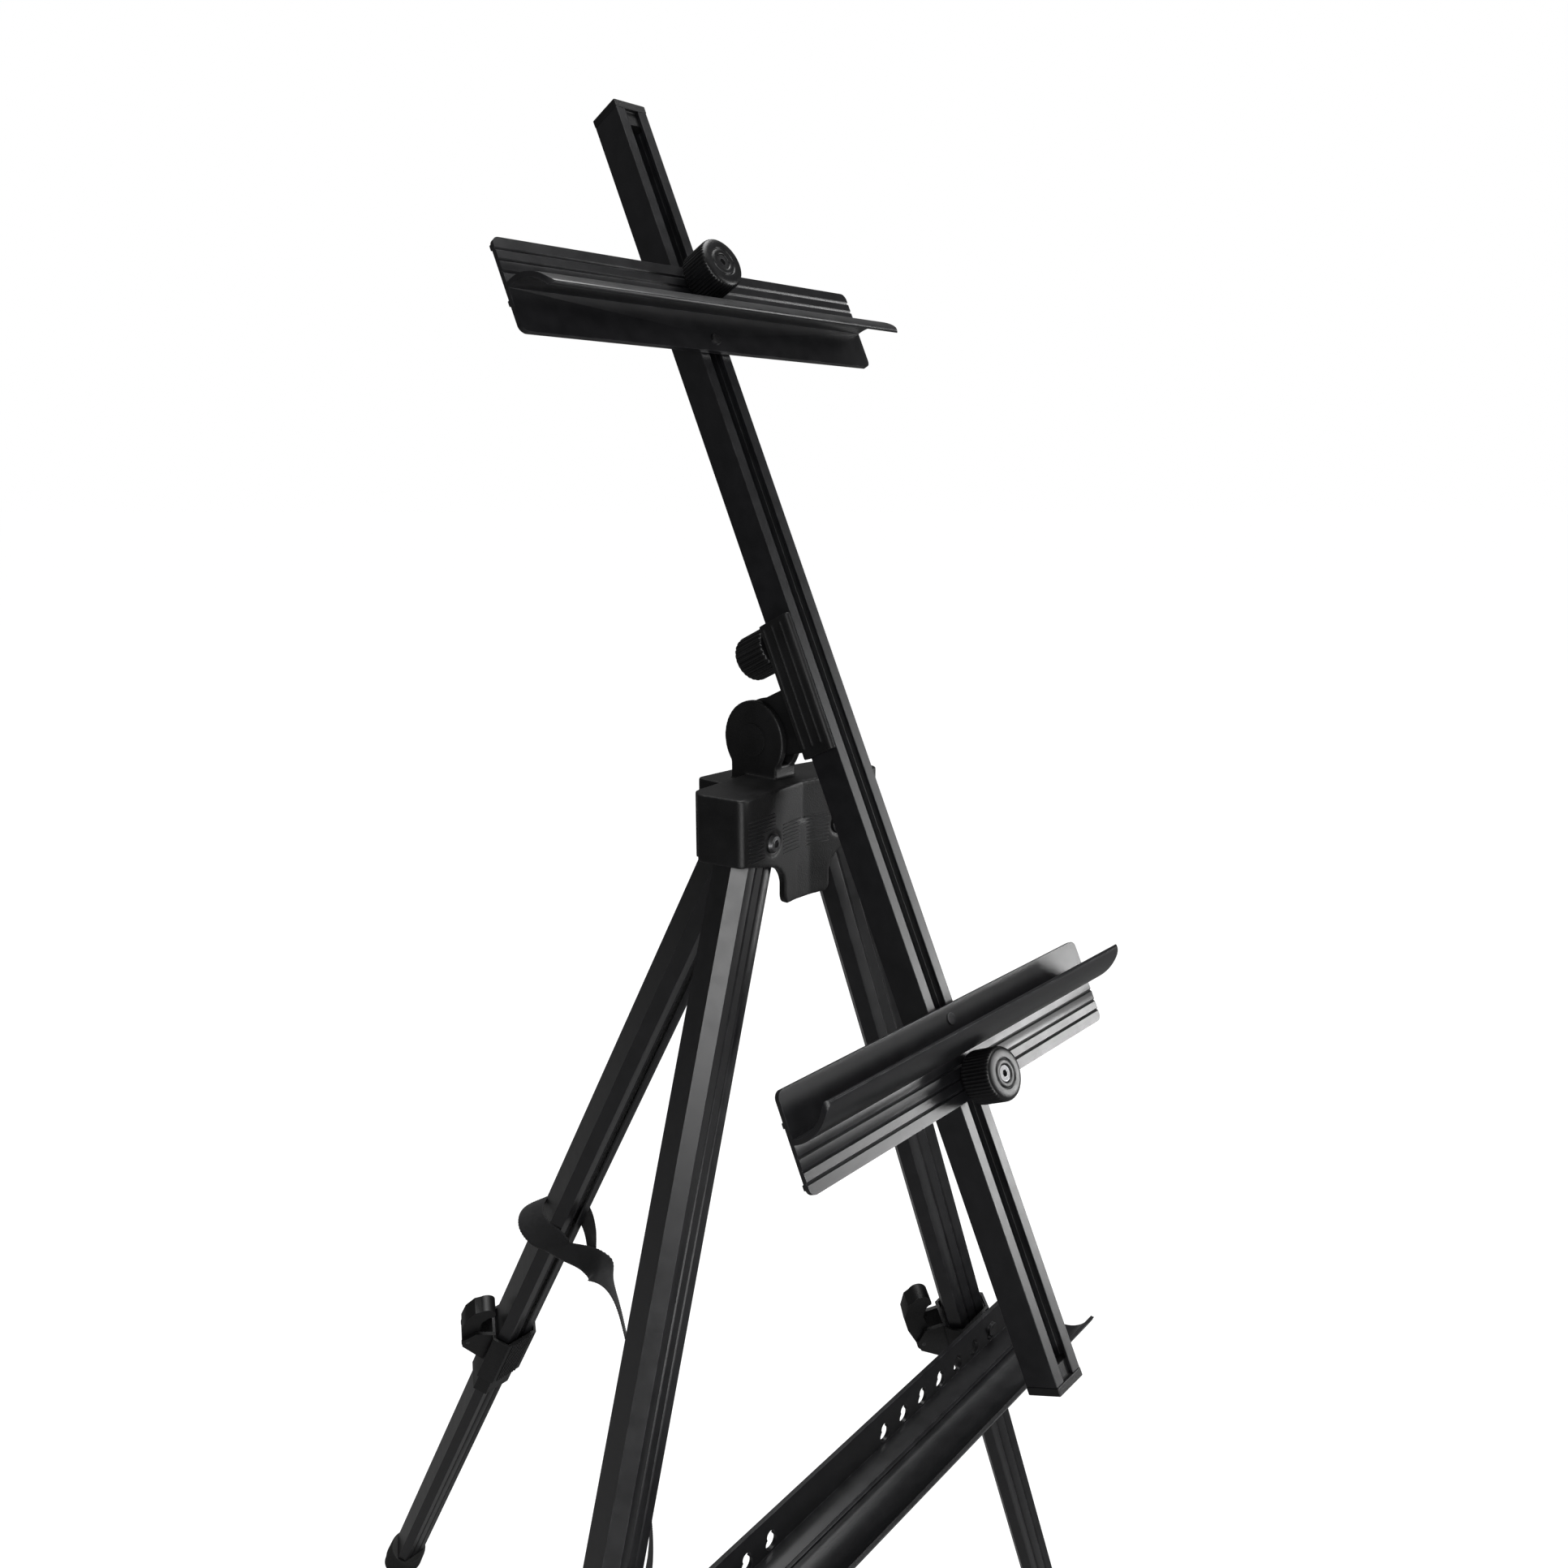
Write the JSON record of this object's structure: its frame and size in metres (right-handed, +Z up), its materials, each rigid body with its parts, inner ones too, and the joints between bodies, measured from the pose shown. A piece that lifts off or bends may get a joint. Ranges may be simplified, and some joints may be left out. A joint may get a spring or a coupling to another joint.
{
  "type": "folding tripod easel",
  "caption": "Folding aluminium tripod easel with a leaning T-slot mast, two sliding canvas holders with knobs, flip-lock telescopic legs, a brush tray and a carry strap.",
  "frame": {"origin": "on the floor under the middle of the bounding box", "axes": "+X to the easel's right as seen from the front, +Y to the back, +Z up; the mast leans back towards +Y"},
  "size_m": [0.7474, 0.8014, 1.37],
  "materials": {
    "black_anodised": "satin black anodised aluminium",
    "moulded_plastic": "fine textured black nylon",
    "knob_plastic": "satin black moulded plastic",
    "dark_steel": "black oxide steel",
    "rubber_feet": "matte",
    "webbing": "woven nylon webbing"
  },
  "bodies": {
    "head": {"tripod_head": "moulded_plastic", "leg_pivot_bolts": "dark_steel", "leg_pivot_nuts": "dark_steel", "hinge_bolt": "dark_steel", "hinge_caps": "moulded_plastic"},
    "clamp": {"mast_clamp": "moulded_plastic", "clamp_slide_nut": "dark_steel"},
    "clamp_knob": {"clamp_knob": "knob_plastic", "clamp_screw": "dark_steel"},
    "mast": {"mast": "black_anodised", "mast_top_cap": "moulded_plastic", "mast_bottom_cap": "moulded_plastic"},
    "lower_holder": {"lower_holder": "black_anodised", "lower_holder_pin": "dark_steel", "lower_slide_nut": "dark_steel"},
    "lower_knob": {"lower_knob": "knob_plastic", "lower_knob_screw": "dark_steel"},
    "upper_holder": {"upper_holder": "black_anodised", "upper_holder_pin": "dark_steel", "upper_slide_nut": "dark_steel"},
    "upper_knob": {"upper_knob": "knob_plastic", "upper_knob_screw": "dark_steel"},
    "left_leg": {"left_upper_leg": "black_anodised", "left_leg_plug": "moulded_plastic", "left_lock_collar": "moulded_plastic", "left_lever_pin": "dark_steel"},
    "left_lever": {"left_lock_lever": "moulded_plastic"},
    "left_foot_tube": {"left_lower_leg": "black_anodised", "left_leg_bush": "moulded_plastic", "left_foot": "rubber_feet"},
    "right_leg": {"right_upper_leg": "black_anodised", "right_leg_plug": "moulded_plastic", "right_lock_collar": "moulded_plastic", "right_lever_pin": "dark_steel"},
    "right_lever": {"right_lock_lever": "moulded_plastic"},
    "right_foot_tube": {"right_lower_leg": "black_anodised", "right_leg_bush": "moulded_plastic", "right_foot": "rubber_feet"},
    "rear_leg": {"rear_upper_leg": "black_anodised", "rear_leg_plug": "moulded_plastic", "rear_lock_collar": "moulded_plastic", "rear_lever_pin": "dark_steel", "strap": "webbing"},
    "rear_lever": {"rear_lock_lever": "moulded_plastic"},
    "rear_foot_tube": {"rear_lower_leg": "black_anodised", "rear_leg_bush": "moulded_plastic", "rear_foot": "rubber_feet"},
    "tray": {"tray": "black_anodised", "tray_studs": "dark_steel"}
  },
  "joints": [
    {"name": "mast_tilt", "type": "hinge", "parent": "head", "child": "clamp", "pos_m": [0, -0.1592, 0.981], "axis": [1, 0, 0], "range_deg": [-64, 16]},
    {"name": "mast_slide", "type": "slide", "parent": "clamp", "child": "mast", "axis": [0, 0.4321, 0.9018], "range_m": [-0.25, 0.35]},
    {"name": "clamp_knob_turn", "type": "hinge", "parent": "clamp", "child": "clamp_knob", "pos_m": [0, -0.17165, 1.04041], "axis": [0, 0.9018, -0.4321], "range_deg": [0, 720]},
    {"name": "lower_holder_slide", "type": "slide", "parent": "mast", "child": "lower_holder", "axis": [0, 0.4321, 0.9018], "range_m": [-0.155, 0.2]},
    {"name": "lower_knob_turn", "type": "hinge", "parent": "lower_holder", "child": "lower_knob", "pos_m": [0, -0.32829, 0.80143], "axis": [0, -0.9018, 0.4321], "range_deg": [0, 720]},
    {"name": "upper_holder_slide", "type": "slide", "parent": "mast", "child": "upper_holder", "axis": [0, 0.4321, 0.9018], "range_m": [-0.15, 0.09]},
    {"name": "upper_knob_turn", "type": "hinge", "parent": "upper_holder", "child": "upper_knob", "pos_m": [0, -0.10896, 1.2592], "axis": [0, -0.9018, 0.4321], "range_deg": [0, 720]},
    {"name": "left_leg_fold", "type": "hinge", "parent": "head", "child": "left_leg", "pos_m": [-0.035, -0.178, 0.9252], "axis": [0.1582, -0.9874, 0], "range_deg": [0, 14]},
    {"name": "left_leg_slide", "type": "slide", "parent": "left_leg", "child": "left_foot_tube", "axis": [0.3264, 0.0523, 0.9438], "range_m": [0, 0.36]},
    {"name": "left_lever_open", "type": "hinge", "parent": "left_leg", "child": "left_lever", "pos_m": [-0.16243, -0.17968, 0.46819], "axis": [-0.6029, 0.7805, 0.1653], "range_deg": [0, 95]},
    {"name": "right_leg_fold", "type": "hinge", "parent": "head", "child": "right_leg", "pos_m": [0.035, -0.178, 0.9252], "axis": [0.1582, 0.9874, 0], "range_deg": [0, 14]},
    {"name": "right_leg_slide", "type": "slide", "parent": "right_leg", "child": "right_foot_tube", "axis": [-0.3264, 0.0523, 0.9438], "range_m": [0, 0.36]},
    {"name": "right_lever_open", "type": "hinge", "parent": "right_leg", "child": "right_lever", "pos_m": [0.16243, -0.17968, 0.46819], "axis": [-0.6029, -0.7805, -0.1653], "range_deg": [0, 95]},
    {"name": "rear_leg_fold", "type": "hinge", "parent": "head", "child": "rear_leg", "pos_m": [0, -0.1439, 0.9252], "axis": [-1, 0, 0], "range_deg": [0, 25]},
    {"name": "rear_leg_slide", "type": "slide", "parent": "rear_leg", "child": "rear_foot_tube", "axis": [0, -0.493, 0.87], "range_m": [0, 0.33]},
    {"name": "rear_lever_open", "type": "hinge", "parent": "rear_leg", "child": "rear_lever", "pos_m": [-0.03204, 0.17344, 0.40274], "axis": [-0.5, -0.7535, -0.427], "range_deg": [0, 95]},
    {"name": "tray_lift", "type": "slide", "parent": "head", "child": "tray", "axis": [0, 0, 1], "range_m": [0, 0.04]}
  ]
}
